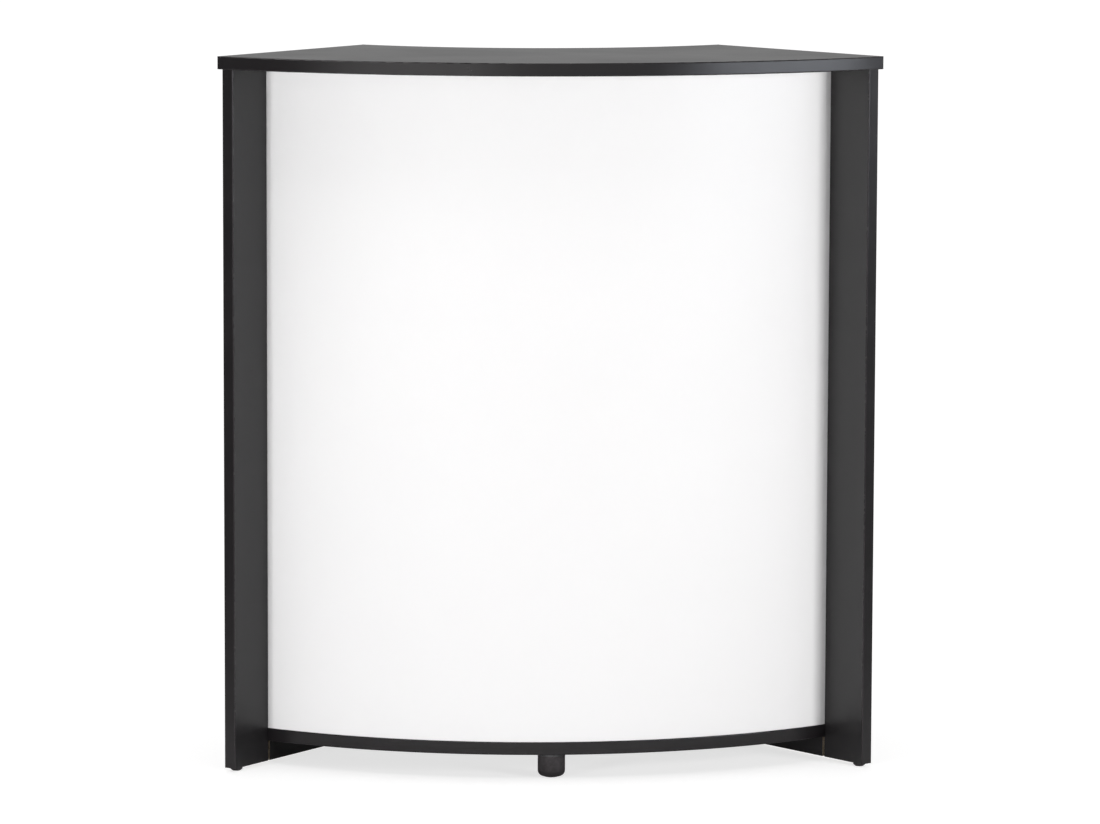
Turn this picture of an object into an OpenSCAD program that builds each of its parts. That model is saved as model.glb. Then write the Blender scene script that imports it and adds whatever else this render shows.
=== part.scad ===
// Curved bar counter element.
// In plan it is a sector of a ring: a worktop, two side panels on radial lines, a base
// shelf and two loose shelves behind a thin bent front sheet, open at the back.
// The origin is on the floor below the middle of the overall box. The front faces -Y.

/* [Overall] */
// Width over the front corners of the worktop
counter_w = 967; // [900:1:1030]
// Height of the worktop's upper face above the floor
counter_h = 1048; // [980:1:1120]

/* [Worktop] */
// Radius of the worktop's front edge
worktop_r = 800; // [740:1:880]
// Worktop measured along a radius, from its rear edge to its front edge
worktop_depth = 360; // [340:1:400]
// Thickness of the worktop
worktop_t = 19; // [18:1:25]
// How far the worktop stands out past the side panels, on every side
worktop_lip = 5; // [3:0.5:10]

/* [Side panels] */
// Thickness of a side panel
panel_t = 19; // [18:1:25]

/* [Base shelf] */
// Clear height between the floor and the base shelf
plinth_h = 35; // [32:1:50]
// Thickness of the base shelf
base_t = 19; // [18:1:25]
// Base shelf's front edge behind the side panels' front edges
front_setback = 79; // [60:1:100]
// Base shelf's rear edge inside the side panels' rear edges
base_rear_setback = 5; // [3:1:30]

/* [Loose shelves] */
// Thickness of a loose shelf
shelf_t = 19; // [18:1:25]
// Height of the lower loose shelf's underside
lower_shelf_z = 366; // [300:1:440]
// Height of the upper loose shelf's underside
upper_shelf_z = 698; // [620:1:780]
// Loose shelves' rear edges inside the side panels' rear edges
shelf_rear_setback = 15; // [3:1:40]
// Gap between a loose shelf and the side panel or the front sheet
shelf_gap = 0.6; // [0.4:0.1:1.5]

/* [Front sheet] */
// Thickness of the bent front sheet
sheet_t = 4; // [3:0.5:6]
// Sheet's face behind the base shelf's front edge
sheet_setback = 2; // [2:0.5:6]
// Depth of the grooves in the side panels
groove_d = 8; // [6:0.5:10]
// Depth of the groove in the worktop's underside
worktop_groove_d = 5; // [3:0.5:8]
// Play between the sheet and a groove wall
groove_play = 0.3; // [0.1:0.1:0.6]

/* [Edge bands] */
// Thickness of the glued edge bands
band_t = 2; // [1.5:0.1:3]
// Rounding of an edge band's outer corners
band_round = 1.6; // [0.5:0.1:1.9]

/* [Glides] */
// Height of a glide, and so of the side panels above the floor
glide_h = 5; // [4:0.5:8]
// Diameter of a glide where it meets the panel
glide_d = 18; // [14:0.5:18]
// Diameter of a glide on the floor
glide_floor_d = 12; // [10:0.5:13]
// Centre of a glide behind the panel's edge
glide_inset = 16; // [12:1:60]
// Length of the nail that holds a glide
nail_l = 16; // [10:1:25]
// Diameter of that nail
nail_d = 2.4; // [1.6:0.1:3]

/* [Centre foot] */
// Outer diameter of the foot
foot_d = 40; // [38:1:50]
// Foot's axis behind the base shelf's front edge
foot_inset = 21; // [19:1:60]
// Thickness of the fixed flange under the base shelf
flange_t = 2.6; // [2:0.2:4]
// Rounding of the cup's lower edge
foot_round = 8.5; // [5:0.5:9]
// Diameter of the threaded stud that the cup turns on
stud_d = 24; // [20:1:26]
// How far the cup can be screwed down
foot_travel = 10; // [5:1:12]
// Radial play of the cup on the stud and of the pad in the cup
foot_play = 0.08; // [0.05:0.01:0.1]
// Thickness of the pad that stands on the floor
pad_t = 3; // [2:0.5:4]
// Diameter of the pad
pad_d = 20; // [16:1:21]

/* [Fittings] */
// Diameter of a cam
cam_d = 15; // [12:0.5:15]
// Distance from a cam's axis to the joint that it draws together
cam_reach = 34; // [24:1:34]
// Diameter of a cam bolt's shank
bolt_d = 6; // [5:0.5:7]
// Length of a cam bolt's thread
bolt_thread_l = 11; // [9:0.5:12]
// Diameter of a wooden dowel
dowel_d = 8; // [6:1:8]
// Length of a wooden dowel
dowel_l = 30; // [24:1:32]
// Diameter of a shelf support's pin
pin_d = 5; // [4:0.5:6]
// Depth of a shelf support's hole
pin_hole_l = 10; // [8:0.5:12]
// Spacing of the support holes in a row
pin_pitch = 32; // [25:1:40]
// First fitting's distance from the panel's rear edge and from the front sheet
fitting_margin = 45; // [40:1:60]
// Distance between a cam bolt and the dowel beside it
dowel_offset = 50; // [30:1:55]
// Radial play of bolts, cams, dowels and pins in their holes
fit_play = 0.1; // [0.05:0.01:0.2]

/* [Hidden] */

// Fineness of the large arcs and of the small round parts
arc_fn = 360;
small_fn = 48;
// Overcut, so that a cut runs clear of the face that it opens
over = 1;

// Colours
board_colour = "#303236";
band_colour = "#2a2b2e";
sheet_colour = "#f4f4f2";
plastic_colour = "#26272a";
metal_colour = "#b9bcc0";
dowel_colour = "#d9b98a";

// Plan: all arcs share one centre behind the counter
half_angle = asin(counter_w / 2 / worktop_r);
rear_r = worktop_r - worktop_depth;
counter_d = worktop_r - rear_r * cos(half_angle);
centre_y = worktop_r - counter_d / 2;

// Edge bands: rounding, never more than the band has room for
arris_r = min(band_round, band_t - 0.1);
end_chamfer = arris_r / 2;

// Side panel, along its radial line and upwards
panel_front = worktop_r - worktop_lip;
panel_rear = rear_r + worktop_lip;
inner_inset = worktop_lip + panel_t;
mid_inset = worktop_lip + panel_t / 2;
worktop_z = counter_h - worktop_t;
panel_h = worktop_z - glide_h;

// Radii of the base shelf, the sheet and the loose shelves
base_r = panel_front - front_setback;
base_rear_r = panel_rear + base_rear_setback;
sheet_r = base_r - sheet_setback;
shelf_r = sheet_r - sheet_t - shelf_gap;
shelf_rear_r = panel_rear + shelf_rear_setback;

// Heights of the base shelf and the sheet
base_z = plinth_h;
base_top = base_z + base_t;
sheet_top = worktop_z + worktop_groove_d - groove_play;

// Places of the fittings along a side panel
rear_fitting = panel_rear + fitting_margin;
front_fitting = sheet_r - sheet_t - fitting_margin;
FITTINGS = [rear_fitting, front_fitting];
DOWELS = [rear_fitting + dowel_offset, front_fitting - dowel_offset];

// Cam bolt: collar at the joint and head in the cam
bolt_collar_d = bolt_d + 2;
bolt_collar_l = 1.5;
bolt_neck_d = bolt_d - 2;
bolt_neck_l = 5;
bolt_head_l = 3;
bolt_tip_gap = 1.5;
bolt_l = cam_reach - bolt_tip_gap;
bolt_bore_d = bolt_collar_d + 2 * fit_play;
bolt_core_d = bolt_d - 1;
bolt_tip_d = 3;
bolt_tip_l = 2;
// Part of a cam's length past the bolt's axis
cam_past = 3;
cam_bore_d = bolt_d + 1;
cam_bore_past = 2;
cam_slot_l = 8;
cam_slot_w = 1.4;
cam_slot_d = 2.5;

// Dowel: more of it stands in the board's edge than in the other board's face
dowel_in_face = 11;
dowel_chamfer = 1;
dowel_end_play = 1;
dowel_end_d = dowel_d - 2 * dowel_chamfer;

// Shelf support: a tongue under the shelf on an upright plate
pin_l = pin_hole_l - 1;
support_w = 9;
support_plate_t = 1.5;
support_plate_h = 9;
support_tongue_l = 9;
support_tongue_t = 1.8;
support_top = pin_d / 2 + support_tongue_t;
pin_steps = [-2:2];

// Glide: blunt end of its nail
nail_tip_d = 0.4;

// Centre foot, along its axis
foot_y = centre_y - base_r + foot_inset;
flange_z = base_z - flange_t;
cup_gap = 0.3;
cup_top = flange_z - cup_gap;
pad_proud = 1;
cup_floor_t = 5;
cup_floor_top = pad_t + cup_floor_t;
stud_end_gap = 3;
// Part of the stud that stays in the cup when the foot is let down all the way
stud_grip = 11;
stud_z = max(cup_floor_top + stud_end_gap, cup_top - foot_travel - stud_grip);
spigot_d = 8;
spigot_head_d = 9.6;
spigot_head_h = 1.6;
spigot_tip_d = spigot_d - 1;
pad_chamfer = 0.5;
foot_screw_d = 4;
foot_screw_head_d = 8;
foot_screw_head_h = 2.6;
foot_screw_in = 14;
foot_screw_recess = 4;
foot_screw_recess_d = foot_screw_head_d + 1;
foot_screw_tip_d = 1;
foot_screw_tip_l = 2;
peg_d = 5;
peg_l = 8;
peg_offset = 11;

// Shared shapes

// Ring about the common centre, standing on z = 0
module ring(r_in, r_out, h) {
    difference() {
        cylinder(r = r_out, h = h, $fn = arc_fn);
        translate([0, 0, -over]) cylinder(r = r_in, h = h + 2 * over, $fn = arc_fn);
    }
}

// Prism between the two radial side planes, each moved inwards by inset
module wedge(inset, h) {
    reach = 2 * worktop_r;
    tip = -inset / sin(half_angle);
    far = tip - reach * cos(half_angle);
    side = reach * sin(half_angle);
    linear_extrude(h) polygon([[0, tip], [-side, far], [side, far]]);
}

// Sector of a ring at height z
module sector(r_in, r_out, inset, z, h) {
    translate([0, centre_y, z]) intersection() {
        ring(r_in, r_out, h);
        wedge(inset, h);
    }
}

// A side's own frame: +X outwards along the radial side line, +Y out of the counter
module at_side(side) {
    mirror([side < 0 ? 1 : 0, 0, 0])
        translate([0, centre_y, 0])
            rotate([0, 0, half_angle - 90]) children();
}

// Section of a banded edge: inner face on x = 0, outer face on x = depth with rounded arrises
module edge_section(depth, h) {
    intersection() {
        square([depth, h]);
        union() {
            square([depth - arris_r, h]);
            translate([0, arris_r]) square([depth, h - 2 * arris_r]);
            for (y = [arris_r, h - arris_r])
                translate([depth - arris_r, y]) circle(r = arris_r, $fn = small_fn);
        }
    }
}

// Edge band on an arc: glued face at radius r, outwards 1 on a convex edge and -1 on a concave one
module curved_band(r, outwards, inset, z, h) {
    translate([0, centre_y, z]) intersection() {
        rotate_extrude($fn = arc_fn)
            translate([r, 0]) mirror([outwards < 0 ? 1 : 0, 0]) edge_section(band_t, h);
        translate([0, 0, -over]) wedge(inset, h + 2 * over);
    }
}

// Upright edge band on a side panel, at its front or its rear edge
module panel_band(side, edge) {
    x = edge == "front" ? panel_front - band_t : panel_rear + band_t;
    color(band_colour) at_side(side) translate([x, -inner_inset, glide_h])
        mirror([edge == "front" ? 0 : 1, 0, 0])
            linear_extrude(panel_h) edge_section(band_t, panel_t);
}

// Fittings, each in its own frame

// Cam bolt: thread below z = 0, shank and head above it
module cam_bolt() {
    neck_z = bolt_l - bolt_head_l - bolt_neck_l;
    translate([0, 0, -bolt_thread_l]) {
        cylinder(d1 = bolt_tip_d, d2 = bolt_core_d, h = bolt_tip_l, $fn = small_fn);
        translate([0, 0, bolt_tip_l])
            cylinder(d = bolt_core_d, h = bolt_thread_l - bolt_tip_l, $fn = small_fn);
    }
    cylinder(d = bolt_collar_d, h = bolt_collar_l, $fn = small_fn);
    cylinder(d = bolt_d, h = neck_z, $fn = small_fn);
    translate([0, 0, neck_z]) cylinder(d = bolt_neck_d, h = bolt_neck_l, $fn = small_fn);
    translate([0, 0, bolt_l - bolt_head_l]) cylinder(d = bolt_d, h = bolt_head_l, $fn = small_fn);
}

// Space for a cam bolt, in both boards
module cam_bolt_space() {
    translate([0, 0, -bolt_thread_l - fit_play])
        cylinder(d = bolt_core_d + 2 * fit_play, h = bolt_thread_l + fit_play + over, $fn = small_fn);
    cylinder(d = bolt_bore_d, h = cam_reach, $fn = small_fn);
}

// Cam: outer face on z = 0, open towards -Y for the bolt, in a board of thickness t
module cam(t) {
    difference() {
        cylinder(d = cam_d, h = t / 2 + cam_past, $fn = small_fn);
        translate([0, cam_bore_past, t / 2]) rotate([90, 0, 0])
            cylinder(d = cam_bore_d, h = cam_d, $fn = small_fn);
        for (a = [0, 90]) rotate([0, 0, a])
            translate([-cam_slot_l / 2, -cam_slot_w / 2, -over])
                cube([cam_slot_l, cam_slot_w, cam_slot_d + over]);
    }
}

// Space for a cam in a board of thickness t
module cam_space(t) {
    translate([0, 0, -over])
        cylinder(d = cam_d + 2 * fit_play, h = t / 2 + cam_past + fit_play + over, $fn = small_fn);
}

// Dowel across the plane z = 0, with its shorter end below
module dowel() {
    translate([0, 0, -dowel_in_face]) {
        cylinder(d1 = dowel_end_d, d2 = dowel_d, h = dowel_chamfer, $fn = small_fn);
        translate([0, 0, dowel_chamfer])
            cylinder(d = dowel_d, h = dowel_l - 2 * dowel_chamfer, $fn = small_fn);
        translate([0, 0, dowel_l - dowel_chamfer])
            cylinder(d1 = dowel_d, d2 = dowel_end_d, h = dowel_chamfer, $fn = small_fn);
    }
}

// Space for a dowel, in both boards
module dowel_space() {
    translate([0, 0, -dowel_in_face - dowel_end_play])
        cylinder(d = dowel_d + 2 * fit_play, h = dowel_l + 2 * dowel_end_play, $fn = small_fn);
}

// Shelf support: pin along +Y from the panel's face on y = 0, tongue above and in front
module shelf_support() {
    rotate([-90, 0, 0]) cylinder(d = pin_d, h = pin_l, $fn = small_fn);
    translate([-support_w / 2, -support_plate_t, support_top - support_plate_h])
        cube([support_w, support_plate_t, support_plate_h]);
    translate([-support_w / 2, -support_tongue_l, support_top - support_tongue_t])
        cube([support_w, support_tongue_l, support_tongue_t]);
}

// Glide: disc below z = 0 with a chamfered floor edge, nail above
module glide() {
    straight = glide_h / 2;
    translate([0, 0, -straight]) cylinder(d = glide_d, h = straight, $fn = small_fn);
    translate([0, 0, -glide_h])
        cylinder(d1 = glide_floor_d, d2 = glide_d, h = glide_h - straight, $fn = small_fn);
    cylinder(d = nail_d, h = nail_l - nail_d, $fn = small_fn);
    translate([0, 0, nail_l - nail_d])
        cylinder(d1 = nail_d, d2 = nail_tip_d, h = nail_d, $fn = small_fn);
}

// Places of the fittings

// Children along the worktop's joint on one side: z = 0 on the joint, +Z down into the panel
module at_worktop_joint(side, places) {
    at_side(side) for (x = places)
        translate([x, -mid_inset, worktop_z]) rotate([180, 0, 0]) children();
}

// Children on a worktop cam's face, +Z into the side panel
module at_worktop_cams(side) {
    at_side(side) for (x = FITTINGS)
        translate([x, -inner_inset, worktop_z - cam_reach]) rotate([-90, 0, 0]) children();
}

// Children along the base shelf's joint on one side: z = 0 on the joint, +Z into the shelf
module at_base_joint(side, places) {
    at_side(side) for (x = places)
        translate([x, -inner_inset, base_z + base_t / 2]) rotate([90, 0, 0]) children();
}

// Children on a base cam's face, +Z up into the shelf
module at_base_cams(side) {
    at_side(side) for (x = FITTINGS)
        translate([x, -inner_inset - cam_reach, base_z]) rotate([0, 0, 180]) children();
}

// Children at the support pins of a loose shelf, moved up by rise
module at_supports(side, shelf_z, rise = 0) {
    at_side(side) for (x = FITTINGS)
        translate([x, -inner_inset, shelf_z - support_top + rise]) children();
}

// Children under a side panel, at its glides
module at_glides(side) {
    at_side(side) for (x = [panel_rear + glide_inset, panel_front - glide_inset])
        translate([x, -mid_inset, glide_h]) children();
}

// Children on the centre foot's axis, at floor level
module at_foot() {
    translate([0, foot_y, 0]) children();
}

// Spaces cut from the boards

// The front sheet's space, with its play, through the panels and up into the worktop
module sheet_space() {
    sector(sheet_r - sheet_t - groove_play, sheet_r + groove_play, inner_inset - groove_d,
        glide_h - over, worktop_z + worktop_groove_d - glide_h + over);
}

// Holes on both sides of the worktop's joint with one side panel
module worktop_joint_space(side) {
    at_worktop_joint(side, FITTINGS) cam_bolt_space();
    at_worktop_joint(side, DOWELS) dowel_space();
}

// Holes on both sides of the base shelf's joint with one side panel
module base_joint_space(side) {
    at_base_joint(side, FITTINGS) cam_bolt_space();
    at_base_joint(side, DOWELS) dowel_space();
}

// Rows of support holes around one loose shelf's height
module support_holes(side, shelf_z) {
    for (step = pin_steps)
        at_supports(side, shelf_z, step * pin_pitch) rotate([-90, 0, 0])
            translate([0, 0, -over])
                cylinder(d = pin_d + 2 * fit_play, h = pin_hole_l + over, $fn = small_fn);
}

// Holes for the centre foot's screw and pegs in the base shelf
module foot_space() {
    at_foot() translate([0, 0, base_z - over]) {
        cylinder(d = foot_screw_d + 2 * fit_play, h = foot_screw_in + fit_play + over, $fn = small_fn);
        for (x = [-peg_offset, peg_offset]) translate([x, 0, 0])
            cylinder(d = peg_d + 2 * fit_play, h = peg_l + fit_play + over, $fn = small_fn);
    }
}

// Pieces

module worktop() {
    color(board_colour) difference() {
        sector(rear_r + band_t, worktop_r - band_t, band_t, worktop_z, worktop_t);
        sheet_space();
        for (side = [-1, 1]) worktop_joint_space(side);
    }
}

// Upright square bar, set on its edge: cuts a chamfer with legs of end_chamfer
module corner_cut() {
    side_w = end_chamfer * sqrt(2);
    translate([0, 0, -over]) rotate([0, 0, 45])
        linear_extrude(worktop_t + 2 * over) square(side_w, center = true);
}

// Worktop's curved edge band on radius r, its upright corners chamfered
module worktop_curved_band(r, outwards) {
    color(band_colour) difference() {
        curved_band(r - outwards * band_t, outwards, 0, worktop_z, worktop_t);
        for (side = [-1, 1]) at_side(side) translate([r, 0, worktop_z]) corner_cut();
    }
}

module worktop_side_band(side) {
    color(band_colour) at_side(side) intersection() {
        translate([0, -band_t, worktop_z]) rotate([90, 0, 90])
            linear_extrude(worktop_r) edge_section(band_t, worktop_t);
        translate([0, 0, worktop_z]) ring(rear_r + band_t, worktop_r - band_t, worktop_t);
    }
}

module panel(side) {
    color(board_colour) difference() {
        at_side(side) translate([panel_rear + band_t, -inner_inset, glide_h])
            cube([panel_front - panel_rear - 2 * band_t, panel_t, panel_h]);
        sheet_space();
        worktop_joint_space(side);
        at_worktop_cams(side) cam_space(panel_t);
        base_joint_space(side);
        for (z = [lower_shelf_z, upper_shelf_z]) support_holes(side, z);
        at_glides(side) cylinder(d = nail_d + 2 * fit_play, h = nail_l + fit_play, $fn = small_fn);
    }
}

module base_shelf() {
    color(board_colour) difference() {
        sector(base_rear_r + band_t, base_r - band_t, inner_inset, base_z, base_t);
        for (side = [-1, 1]) {
            base_joint_space(side);
            at_base_cams(side) cam_space(base_t);
        }
        foot_space();
    }
}

module base_shelf_front_band() {
    color(band_colour) curved_band(base_r - band_t, 1, inner_inset, base_z, base_t);
}

module base_shelf_rear_band() {
    color(band_colour) curved_band(base_rear_r + band_t, -1, inner_inset, base_z, base_t);
}

module loose_shelf(z) {
    color(board_colour) sector(shelf_rear_r + band_t, shelf_r, inner_inset + shelf_gap, z, shelf_t);
}

module loose_curved_band(z) {
    color(band_colour) curved_band(shelf_rear_r + band_t, -1, inner_inset + shelf_gap, z, shelf_t);
}

module front_sheet() {
    color(sheet_colour) sector(sheet_r - sheet_t, sheet_r, inner_inset - groove_d + groove_play,
        base_top, sheet_top - base_top);
}

module glides(side) {
    color(plastic_colour) at_glides(side) glide();
}

module foot_flange() {
    color(plastic_colour) at_foot() difference() {
        union() {
            translate([0, 0, flange_z]) cylinder(d = foot_d, h = flange_t, $fn = small_fn);
            translate([0, 0, stud_z]) cylinder(d = stud_d, h = flange_z - stud_z, $fn = small_fn);
            for (x = [-peg_offset, peg_offset]) translate([x, 0, base_z])
                cylinder(d = peg_d, h = peg_l, $fn = small_fn);
        }
        translate([0, 0, stud_z - over])
            cylinder(d = foot_screw_recess_d, h = foot_screw_recess + over, $fn = small_fn);
        translate([0, 0, stud_z])
            cylinder(d = foot_screw_d + 2 * fit_play, h = base_z - stud_z + over, $fn = small_fn);
    }
}

module foot_screw() {
    seat = stud_z + foot_screw_recess;
    tip_z = base_z + foot_screw_in - foot_screw_tip_l;
    color(metal_colour) at_foot() {
        translate([0, 0, seat - foot_screw_head_h])
            cylinder(d = foot_screw_head_d, h = foot_screw_head_h, $fn = small_fn);
        translate([0, 0, seat])
            cylinder(d = foot_screw_d, h = tip_z - seat, $fn = small_fn);
        translate([0, 0, tip_z])
            cylinder(d1 = foot_screw_d, d2 = foot_screw_tip_d, h = foot_screw_tip_l, $fn = small_fn);
    }
}

// Cup: turns on the stud, and holds the pad's spigot in its floor
module foot_cup() {
    color(plastic_colour) at_foot() difference() {
        union() {
            translate([0, 0, pad_proud + foot_round])
                cylinder(d = foot_d, h = cup_top - pad_proud - foot_round, $fn = small_fn);
            translate([0, 0, pad_proud])
                cylinder(d = foot_d - 2 * foot_round, h = foot_round, $fn = small_fn);
            translate([0, 0, pad_proud + foot_round]) rotate_extrude($fn = small_fn)
                translate([foot_d / 2 - foot_round, 0]) circle(r = foot_round, $fn = small_fn);
        }
        translate([0, 0, cup_floor_top])
            cylinder(d = stud_d + 2 * foot_play, h = cup_top, $fn = small_fn);
        translate([0, 0, -over])
            cylinder(d = pad_d + 2 * foot_play, h = pad_t + foot_play + over, $fn = small_fn);
        cylinder(d = spigot_d + 2 * foot_play, h = cup_floor_top + over, $fn = small_fn);
    }
}

module foot_pad() {
    neck_top = cup_floor_top + foot_play;
    color(plastic_colour) at_foot() {
        cylinder(d1 = pad_d - 2 * pad_chamfer, d2 = pad_d, h = pad_chamfer, $fn = small_fn);
        translate([0, 0, pad_chamfer]) cylinder(d = pad_d, h = pad_t - pad_chamfer, $fn = small_fn);
        translate([0, 0, pad_t]) cylinder(d = spigot_d, h = neck_top - pad_t, $fn = small_fn);
        translate([0, 0, neck_top])
            cylinder(d1 = spigot_head_d, d2 = spigot_tip_d, h = spigot_head_h, $fn = small_fn);
    }
}

module worktop_cam_bolts() {
    color(metal_colour) for (side = [-1, 1]) at_worktop_joint(side, FITTINGS) cam_bolt();
}

module worktop_cams() {
    color(metal_colour) for (side = [-1, 1]) at_worktop_cams(side) cam(panel_t);
}

module worktop_dowels() {
    color(dowel_colour) for (side = [-1, 1]) at_worktop_joint(side, DOWELS) dowel();
}

module base_cam_bolts() {
    color(metal_colour) for (side = [-1, 1]) at_base_joint(side, FITTINGS) cam_bolt();
}

module base_cams() {
    color(metal_colour) for (side = [-1, 1]) at_base_cams(side) cam(base_t);
}

module base_dowels() {
    color(dowel_colour) for (side = [-1, 1]) at_base_joint(side, DOWELS) dowel();
}

module shelf_supports() {
    color(metal_colour) for (side = [-1, 1], z = [lower_shelf_z, upper_shelf_z])
        at_supports(side, z) shelf_support();
}

worktop();
worktop_curved_band(worktop_r, 1);  // worktop_front_band
worktop_curved_band(rear_r, -1);  // worktop_rear_band
worktop_side_band(-1);  // worktop_left_band
worktop_side_band(1);  // worktop_right_band
panel(-1);  // left_panel
panel_band(-1, "front");  // left_panel_front_band
panel_band(-1, "rear");  // left_panel_rear_band
panel(1);  // right_panel
panel_band(1, "front");  // right_panel_front_band
panel_band(1, "rear");  // right_panel_rear_band
base_shelf();
base_shelf_front_band();
base_shelf_rear_band();
loose_shelf(lower_shelf_z);  // lower_shelf
loose_curved_band(lower_shelf_z);  // lower_shelf_rear_band
loose_shelf(upper_shelf_z);  // upper_shelf
loose_curved_band(upper_shelf_z);  // upper_shelf_rear_band
front_sheet();
glides(-1);  // left_glides
glides(1);  // right_glides
foot_flange();
foot_screw();
foot_cup();
foot_pad();
worktop_cam_bolts();
worktop_cams();
worktop_dowels();
base_cam_bolts();
base_cams();
base_dowels();
shelf_supports();
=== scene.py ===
import math

import bpy
from mathutils import Matrix, Vector


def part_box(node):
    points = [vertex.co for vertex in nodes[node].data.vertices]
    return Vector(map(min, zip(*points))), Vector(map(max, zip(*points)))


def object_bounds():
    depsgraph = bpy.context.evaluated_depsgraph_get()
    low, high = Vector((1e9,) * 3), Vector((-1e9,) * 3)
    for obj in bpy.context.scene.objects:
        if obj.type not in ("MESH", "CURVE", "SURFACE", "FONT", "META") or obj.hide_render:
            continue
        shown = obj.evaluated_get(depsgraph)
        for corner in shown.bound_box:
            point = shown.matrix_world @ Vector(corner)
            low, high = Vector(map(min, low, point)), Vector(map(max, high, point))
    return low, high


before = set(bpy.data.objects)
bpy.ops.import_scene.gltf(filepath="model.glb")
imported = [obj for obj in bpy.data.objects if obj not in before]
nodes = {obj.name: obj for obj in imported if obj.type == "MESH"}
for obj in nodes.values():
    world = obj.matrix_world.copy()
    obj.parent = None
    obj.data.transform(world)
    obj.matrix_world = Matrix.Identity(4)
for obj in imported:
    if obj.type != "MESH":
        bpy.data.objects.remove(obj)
cad_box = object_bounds()
scene = bpy.context.scene

# Plan of the counter: every arc has its centre behind the counter, and the sides lie on radial lines
WORKTOP_W, WORKTOP_R = 0.967, 0.8
# Worktop past the outer faces of the side panels
OVERHANG = 0.005
HALF_ANGLE = math.asin(WORKTOP_W / 2 / WORKTOP_R)
CENTRE = Vector((0.0, WORKTOP_R + cad_box[0].y, 0.0))

# Boards, and the depths below their faces at which the paler corners of an edge band (painted highlight
# along the arrises, and wear) begin and are full
BOARD_T = 0.019
FACE_T = 0.0003
HIGHLIGHT_AND_WEAR_BEGINS, HIGHLIGHT_AND_WEAR_FULL = 0.0017, 0.0004

# Camera: place, lens and sensor in mm, and its yaw, pitch and roll in degrees
CAMERA_AT = Vector((-0.461, -8.1715, 1.5492))
CAMERA_LENS, SENSOR_W = 183.6, 36.0
CAMERA_TURN = (-3.25, -7.16, 0.2)

# Colours of the boards, bands and fittings
BOARD_BLACK = (0.0084, 0.0077, 0.0083)
BAND_BLACK = (0.0086, 0.0073, 0.0082)
CHIP_DARK, CHIP_PALE = (0.19, 0.15, 0.105), (0.42, 0.365, 0.285)
SHEET_DULL, SHEET_CLEAN = (0.890, 0.886, 0.890), (0.906, 0.903, 0.906)
FOOT_BLACK = (0.0175, 0.0155, 0.0165)
FLANGE_GREY = (0.030, 0.030, 0.031)
RUBBER_BLACK = (0.02, 0.02, 0.02)
ZINC_GREY, ZINC_PALE, ZINC_BARE = (0.52, 0.53, 0.54), (0.70, 0.69, 0.65), (0.80, 0.80, 0.81)
BEECH_DARK, BEECH_PALE = (0.45, 0.27, 0.14), (0.66, 0.46, 0.27)

# Strength of the reflections; the panels differ a little, as their tones do in the photo
BOARD_GLOSS, LEFT_GLOSS, RIGHT_GLOSS = 0.50, 0.43, 0.60
BAND_GLOSS, SHEET_GLOSS, PLASTIC_GLOSS = 0.45, 0.30, 0.35

# Brightness of the world for matt surfaces, in front of the counter and behind it
FRONT_LIGHT, BACK_LIGHT = 0.08, 0.75
# Brightness of the room in reflections
FRONT_ROOM, SIDE_ROOM, BACK_ROOM = 0.60, 0.16, 0.66
# White that the camera sees, a little over 1 to keep the picture's border white after denoising
CAMERA_WHITE = 1.06

# Floor: its disc, its tone, and the light that it adds for the camera and in reflections
FLOOR_RADIUS, FLOOR_STEPS = 40.0, 96
FLOOR_TONE = 0.86
CAMERA_LIFT, MIRROR_LIFT = 0.40, 0.36
# The lift in reflections sets in between these two places along Y, in front of the counter
MIRROR_BEGINS_Y, MIRROR_FULL_Y = -0.22, -0.42
# Distances between which the floor fades into the backdrop, and how far it does so anyway for the camera
FADE_NEAR, FADE_FAR = 0.6, 1.7
CAMERA_FADE = 0.45

WHITE = (1.0, 1.0, 1.0)
COOL, WARM, NEUTRAL = (0.87, 0.92, 1.0), (1.0, 0.988, 0.985), (1.0, 0.998, 0.998)


def add_camera():
    yaw, pitch, roll = (math.radians(angle) for angle in CAMERA_TURN)
    data = bpy.data.cameras.new("camera")
    data.sensor_width = SENSOR_W
    data.lens = CAMERA_LENS
    data.clip_start, data.clip_end = 0.1, 200.0
    camera = bpy.data.objects.new("camera", data)
    scene.collection.objects.link(camera)
    turn = Matrix.Rotation(yaw, 4, "Z") @ Matrix.Rotation(math.pi / 2 + pitch, 4, "X")
    camera.matrix_world = Matrix.Translation(CAMERA_AT) @ (turn @ Matrix.Rotation(roll, 4, "Z"))
    scene.camera = camera


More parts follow.
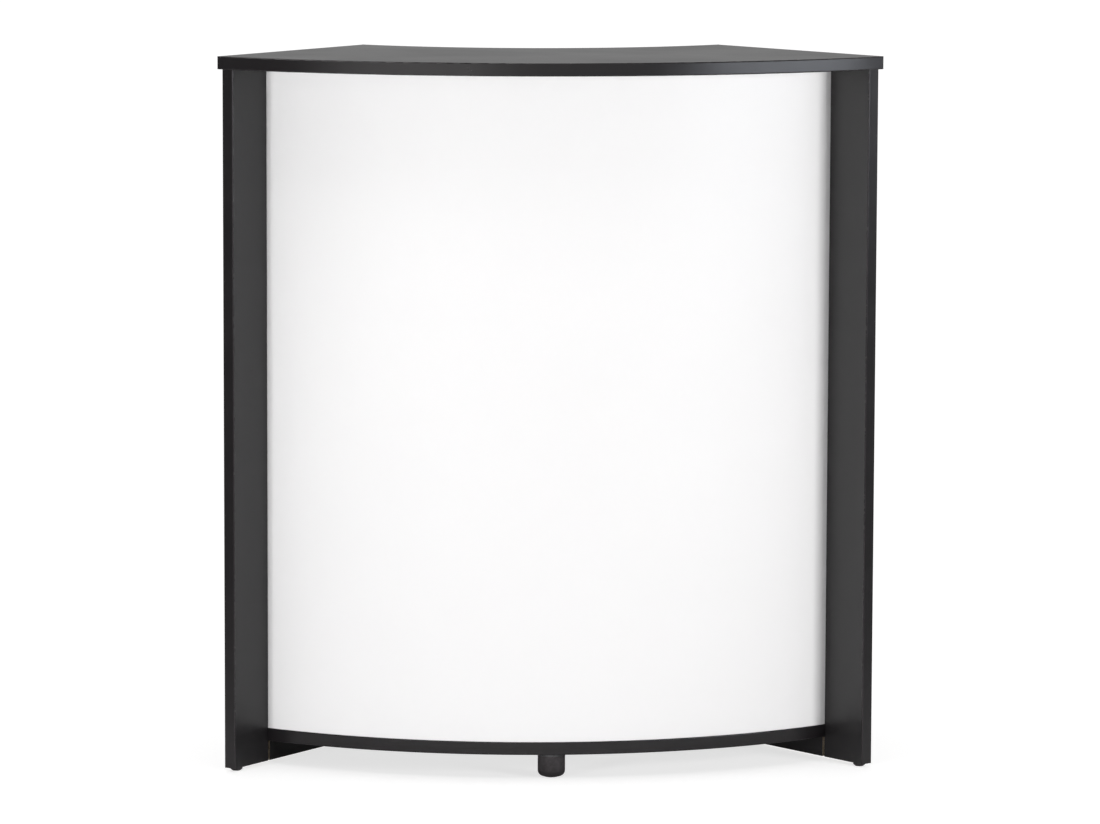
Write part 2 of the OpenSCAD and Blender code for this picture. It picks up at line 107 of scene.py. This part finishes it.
class Shader:
    """Adds nodes to the node tree of a material or a world, and links them."""

    def __init__(self, tree):
        self.tree = tree
        tree.nodes.clear()

    def add(self, kind, inputs=None, **settings):
        node = self.tree.nodes.new(kind)
        for key, value in settings.items():
            setattr(node, key, value)
        for key, value in (inputs or {}).items():
            self.set(node, key, value)
        return node

    def set(self, node, key, value):
        """Links the input to another node's output, or gives it a constant."""
        if isinstance(value, bpy.types.NodeSocket):
            self.tree.links.new(value, node.inputs[key])
        else:
            node.inputs[key].default_value = value

    def math(self, operation, first, second=0.0):
        return self.add("ShaderNodeMath", {0: first, 1: second}, operation=operation).outputs[0]

    def ramp(self, value, low, high, out_low=0.0, out_high=1.0):
        node = self.add("ShaderNodeMapRange", {
            "Value": value, "From Min": low, "From Max": high,
            "To Min": out_low, "To Max": out_high}, clamp=True)
        return node.outputs["Result"]

    def noise(self, where, scale, detail=3.0, roughness=0.5):
        node = self.add("ShaderNodeTexNoise", {
            "Vector": where, "Scale": scale, "Detail": detail, "Roughness": roughness})
        return node.outputs["Fac"]

    def mix(self, factor, first, second):
        """Mixes two colours."""
        return self.add("ShaderNodeMix", {0: factor, 6: first, 7: second}, data_type="RGBA").outputs[2]

    def blend(self, factor, first, second):
        """Mixes two numbers."""
        return self.add("ShaderNodeMix", {0: factor, 2: first, 3: second}, data_type="FLOAT").outputs[0]

    def bump(self, height, depth):
        return self.add("ShaderNodeBump", {"Height": height, "Distance": depth}).outputs["Normal"]


def tint(colour, gain=1.0):
    """The colour times gain, opaque, for a colour socket."""
    return (*(gain * part for part in colour), 1.0)


def new_material(name):
    material = bpy.data.materials.new(name)
    material.use_nodes = True
    shader = Shader(material.node_tree)
    where = shader.add("ShaderNodeTexCoord").outputs["Object"]
    return material, shader, where


def finish_material(material, shader, inputs):
    surface = shader.add("ShaderNodeBsdfPrincipled", inputs)
    shader.add("ShaderNodeOutputMaterial", {"Surface": surface.outputs[0]})
    return material


def from_plane(shader, where, normal, middle):
    """Distance to the plane across normal that lies middle along it."""
    along = shader.add("ShaderNodeVectorMath", {0: where, 1: normal}, operation="DOT_PRODUCT")
    return shader.math("ABSOLUTE", shader.math("SUBTRACT", along.outputs["Value"], middle))


def edge_wear(shader, where, scale):
    """Strength of the wear on convex edges, broken up by noise."""
    convex = shader.add("ShaderNodeNewGeometry").outputs["Pointiness"]
    broken = shader.ramp(shader.noise(where, scale, roughness=0.6), 0.35, 0.6, 0.25, 1.0)
    return shader.math("MULTIPLY", shader.ramp(convex, 0.515, 0.58), broken)


def raw_board(shader, where):
    """Colour of the pressed chips inside a board, and their height for the bump."""
    chips = shader.add("ShaderNodeTexVoronoi", {"Vector": where, "Scale": 420.0, "Randomness": 1.0})
    chip = shader.add("ShaderNodeSeparateColor", {"Color": chips.outputs["Color"]}).outputs[0]
    grain = shader.noise(where, 900.0, detail=4.0, roughness=0.6)
    height = shader.math("ADD", shader.math("MULTIPLY", chip, 0.7), shader.math("MULTIPLY", grain, 0.3))
    return shader.mix(height, tint(CHIP_DARK), tint(CHIP_PALE)), height


def board_material(name, normal, middle, gloss):
    """Board with melamine faces and raw chips between them.

    Normal is the board's thickness direction, and middle is its mid-plane's place along it.
    """
    material, shader, where = new_material(name)
    core = shader.math("LESS_THAN", from_plane(shader, where, normal, middle), BOARD_T / 2 - FACE_T)
    pearl = shader.noise(where, 1500.0, detail=2.0)
    patches = shader.noise(where, 7.0, roughness=0.55)
    face = shader.mix(shader.ramp(patches, 0.3, 0.7), tint(BOARD_BLACK, 0.90), tint(BOARD_BLACK, 1.12))
    face = shader.mix(shader.ramp(pearl, 0.35, 0.75, 0.0, 0.35), face, tint(BOARD_BLACK, 1.6))
    raw, chips = raw_board(shader, where)
    rough = shader.blend(core, shader.ramp(patches, 0.25, 0.75, 0.36, 0.42), 0.9)
    height = shader.blend(core, pearl, shader.math("MULTIPLY", chips, 4.0))
    return finish_material(material, shader, {
        "Base Color": shader.mix(core, face, raw), "Roughness": rough, "Specular IOR Level": gloss,
        "Normal": shader.bump(height, 0.00003)})


def band_material(name, normal, middle):
    """Thick plastic edge band, satin, with its rounded corners painted paler and made smoother in places:
    a painted highlight along the arrises, together with wear.
    """
    material, shader, where = new_material(name)
    fine = shader.noise(where, 1100.0, roughness=0.55)
    smears = shader.noise(where, 18.0, detail=4.0, roughness=0.6)
    base = shader.mix(shader.ramp(smears, 0.3, 0.7), tint(BAND_BLACK, 0.92), tint(BAND_BLACK, 1.15))
    corner = shader.ramp(from_plane(shader, where, normal, middle),
                         BOARD_T / 2 - HIGHLIGHT_AND_WEAR_BEGINS, BOARD_T / 2 - HIGHLIGHT_AND_WEAR_FULL)
    broken = shader.ramp(shader.noise(where, 45.0, detail=4.0, roughness=0.65), 0.35, 0.62, 0.3, 1.0)
    # Rounded corners painted paler: a painted highlight along the arrises, together with wear
    highlight_and_wear = shader.math("MULTIPLY", corner, broken)
    rough = shader.math("SUBTRACT", shader.ramp(smears, 0.25, 0.75, 0.27, 0.34),
                        shader.math("MULTIPLY", highlight_and_wear, 0.07))
    return finish_material(material, shader, {
        "Base Color": shader.mix(highlight_and_wear, base, tint(BAND_BLACK, 2.6)), "Roughness": rough,
        "Specular IOR Level": BAND_GLOSS, "Normal": shader.bump(fine, 0.00002)})


def sheet_material():
    material, shader, where = new_material("white_sheet")
    fine = shader.noise(where, 700.0)
    clouds = shader.noise(where, 2.5, detail=2.0)
    return finish_material(material, shader, {
        "Base Color": shader.mix(shader.ramp(clouds, 0.3, 0.7), tint(SHEET_DULL), tint(SHEET_CLEAN)),
        "Roughness": shader.ramp(clouds, 0.3, 0.7, 0.36, 0.42),
        "Specular IOR Level": SHEET_GLOSS, "Normal": shader.bump(fine, 0.00001)})


def plastic_material(name, colour, rough):
    material, shader, where = new_material(name)
    texture = shader.noise(where, 1600.0, roughness=0.6)
    smears = shader.noise(where, 45.0, roughness=0.55)
    base = shader.mix(shader.ramp(smears, 0.3, 0.7), tint(colour, 0.88), tint(colour, 1.2))
    return finish_material(material, shader, {
        "Base Color": shader.mix(edge_wear(shader, where, 150.0), base, tint(colour, 2.4)),
        "Roughness": shader.ramp(smears, 0.25, 0.75, rough - 0.04, rough + 0.05),
        "Specular IOR Level": PLASTIC_GLOSS, "Normal": shader.bump(texture, 0.00005)})


def zinc_material():
    material, shader, where = new_material("zinc_steel")
    clouds = shader.noise(where, 180.0, detail=4.0, roughness=0.6)
    fine = shader.noise(where, 2200.0, detail=2.0)
    base = shader.mix(shader.ramp(clouds, 0.3, 0.7), tint(ZINC_GREY), tint(ZINC_PALE))
    return finish_material(material, shader, {
        "Base Color": shader.mix(edge_wear(shader, where, 300.0), base, tint(ZINC_BARE)), "Metallic": 1.0,
        "Roughness": shader.ramp(clouds, 0.25, 0.75, 0.28, 0.42), "Normal": shader.bump(fine, 0.00002)})


def beech_material():
    material, shader, where = new_material("beech")
    grain = shader.noise(where, 600.0, detail=4.0, roughness=0.6)
    return finish_material(material, shader, {
        "Base Color": shader.mix(shader.ramp(grain, 0.3, 0.7), tint(BEECH_DARK), tint(BEECH_PALE)),
        "Roughness": shader.ramp(grain, 0.3, 0.7, 0.6, 0.75), "Normal": shader.bump(grain, 0.0001)})


def give(material, *names):
    for name in names:
        mesh = nodes[name].data
        mesh.materials.clear()
        mesh.materials.append(material)


def give_board(name, normal, middle, gloss):
    """Dresses a board and the edge bands glued to it."""
    give(board_material(name + "_board", normal, middle, gloss), name)
    bands = [node for node in nodes if node.startswith(name) and node.endswith("_band")]
    give(band_material(name + "_bands", normal, middle), *bands)


def dress():
    for name in ("worktop", "base_shelf", "lower_shelf", "upper_shelf"):
        low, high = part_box(name)
        give_board(name, (0.0, 0.0, 1.0), (low.z + high.z) / 2, BOARD_GLOSS)
    for side, name, gloss in ((-1, "left_panel", LEFT_GLOSS), (1, "right_panel", RIGHT_GLOSS)):
        outwards = Vector((side * math.cos(HALF_ANGLE), math.sin(HALF_ANGLE), 0.0))
        give_board(name, tuple(outwards), outwards.dot(CENTRE) - OVERHANG - BOARD_T / 2, gloss)
    give(sheet_material(), "front_sheet")
    give(plastic_material("black_plastic", FOOT_BLACK, 0.45), "foot_cup", "left_glides", "right_glides")
    give(plastic_material("grey_plastic", FLANGE_GREY, 0.5), "foot_flange")
    give(plastic_material("rubber_pad", RUBBER_BLACK, 0.7), "foot_pad")
    give(zinc_material(), "foot_screw", "worktop_cam_bolts", "worktop_cams", "base_cam_bolts",
         "base_cams", "shelf_supports")
    give(beech_material(), "worktop_dowels", "base_dowels")


def backwards(shader, direction):
    """How far a direction points to the rear, from -1 to 1."""
    unit = shader.add("ShaderNodeVectorMath", {0: direction}, operation="NORMALIZE").outputs["Vector"]
    return shader.add("ShaderNodeSeparateXYZ", {"Vector": unit}).outputs["Y"]


def shown_level(shader, back):
    """Brightness that a camera, glossy or transmission ray sees; 0 for the rays that light things.

    The camera sees white. In reflections the backdrop behind the counter and the room in front of it
    are pale, and the sides are dim. Returns the light path node too.
    """
    path = shader.add("ShaderNodeLightPath")
    mirrored = shader.math("MAXIMUM", path.outputs["Is Glossy Ray"], path.outputs["Is Transmission Ray"])
    room = shader.math("MAXIMUM", shader.ramp(back, -0.25, 0.45, SIDE_ROOM, BACK_ROOM),
                       shader.ramp(back, -1.0, -0.7, FRONT_ROOM, SIDE_ROOM))
    seen = shader.math("MULTIPLY", path.outputs["Is Camera Ray"], CAMERA_WHITE)
    return shader.math("MAXIMUM", seen, shader.math("MULTIPLY", mirrored, room)), path


def set_world():
    world = bpy.data.worlds.new("world")
    world.use_nodes = True
    scene.world = world
    shader = Shader(world.node_tree)
    back = backwards(shader, shader.add("ShaderNodeTexCoord").outputs["Generated"])
    shown, path = shown_level(shader, back)
    light = shader.ramp(back, -0.1, 0.7, FRONT_LIGHT, BACK_LIGHT)
    strength = shader.math("ADD", shown, shader.math("MULTIPLY", path.outputs["Is Diffuse Ray"], light))
    sky = shader.add("ShaderNodeBackground", {"Color": tint(WHITE), "Strength": strength})
    shader.add("ShaderNodeOutputWorld", {"Surface": sky.outputs[0]})


def floor_material():
    """Pale floor that takes the counter's shadow and fades into the backdrop around it."""
    material, shader, where = new_material("floor")
    shown, path = shown_level(shader, backwards(shader, where))
    camera_ray = path.outputs["Is Camera Ray"]
    lit = shader.add("ShaderNodeBsdfDiffuse", {"Color": tint(WHITE, FLOOR_TONE)})
    place = shader.add("ShaderNodeSeparateXYZ", {"Vector": where}).outputs["Y"]
    ahead = shader.ramp(place, MIRROR_BEGINS_Y, MIRROR_FULL_Y, 0.0, MIRROR_LIFT)
    lift = shader.math("ADD", shader.math("MULTIPLY", camera_ray, CAMERA_LIFT),
                       shader.math("MULTIPLY", path.outputs["Is Glossy Ray"], ahead))
    glow = shader.add("ShaderNodeEmission", {"Color": tint(WHITE), "Strength": lift})
    near = shader.add("ShaderNodeAddShader", {0: lit.outputs[0], 1: glow.outputs[0]})
    backdrop = shader.add("ShaderNodeEmission", {"Color": tint(WHITE), "Strength": shown})
    distance = shader.add("ShaderNodeVectorMath", {0: where}, operation="LENGTH").outputs["Value"]
    fade = shader.math("MULTIPLY", shader.math("GREATER_THAN", shown, 0.0),
                       shader.ramp(distance, FADE_NEAR, FADE_FAR))
    fade = shader.math("MAXIMUM", fade, shader.math("MULTIPLY", camera_ray, CAMERA_FADE))
    surface = shader.add("ShaderNodeMixShader", {0: fade, 1: near.outputs[0], 2: backdrop.outputs[0]})
    shader.add("ShaderNodeOutputMaterial", {"Surface": surface.outputs[0]})
    return material


def add_floor():
    angles = [2 * math.pi * step / FLOOR_STEPS for step in range(FLOOR_STEPS)]
    ring = [(FLOOR_RADIUS * math.cos(angle), FLOOR_RADIUS * math.sin(angle), 0.0) for angle in angles]
    mesh = bpy.data.meshes.new("floor")
    mesh.from_pydata(ring, [], [list(range(FLOOR_STEPS))])
    mesh.materials.append(floor_material())
    floor = bpy.data.objects.new("floor", mesh)
    scene.collection.objects.link(floor)


def add_softbox(name, azimuth, elevation, distance, size, radiance, colour, aim=0.6):
    """A rectangular lamp that faces the counter's axis at the height aim.

    Azimuth 0 is in front of the counter and 90 to its right, as seen from the front.
    """
    lamp = bpy.data.lights.new(name, "AREA")
    lamp.shape = "RECTANGLE"
    lamp.size, lamp.size_y = size
    lamp.energy = radiance * math.pi * size[0] * size[1]
    lamp.color = colour
    softbox = bpy.data.objects.new(name, lamp)
    softbox.visible_camera = False
    turn, lift = math.radians(azimuth), math.radians(elevation)
    away = Vector((math.sin(turn) * math.cos(lift), -math.cos(turn) * math.cos(lift), math.sin(lift)))
    softbox.location = Vector((0.0, 0.0, aim)) + distance * away
    softbox.rotation_mode = "QUATERNION"
    softbox.rotation_quaternion = away.to_track_quat("Z", "Y")
    scene.collection.objects.link(softbox)
    return softbox


def add_lights():
    add_softbox("overhead_softbox", -30, 76, 3.0, (2.2, 1.8), 2.6, WARM)
    # These two show only in reflections, and the fills light only matt surfaces
    mirrored = [add_softbox("right_softbox", 56, 6, 2.7, (1.9, 0.7), 7.6, COOL, aim=0.88),
                add_softbox("left_softbox", -30, 8, 3.4, (2.3, 1.5), 1.5, WARM, aim=0.70)]
    for softbox in mirrored:
        softbox.visible_diffuse = False
    fills = [add_softbox("rear_fill", 180, 20, 4.0, (3.0, 2.0), 3.6, WARM),
             add_softbox("left_fill", -43, -2, 4.0, (0.9, 0.9), 32.2, NEUTRAL),
             add_softbox("right_fill", 51, 6, 4.0, (0.9, 0.9), 30.8, NEUTRAL)]
    for softbox in fills:
        softbox.visible_glossy = False


add_camera()
dress()
set_world()
add_floor()
add_lights()
scene.view_settings.view_transform = "Standard"
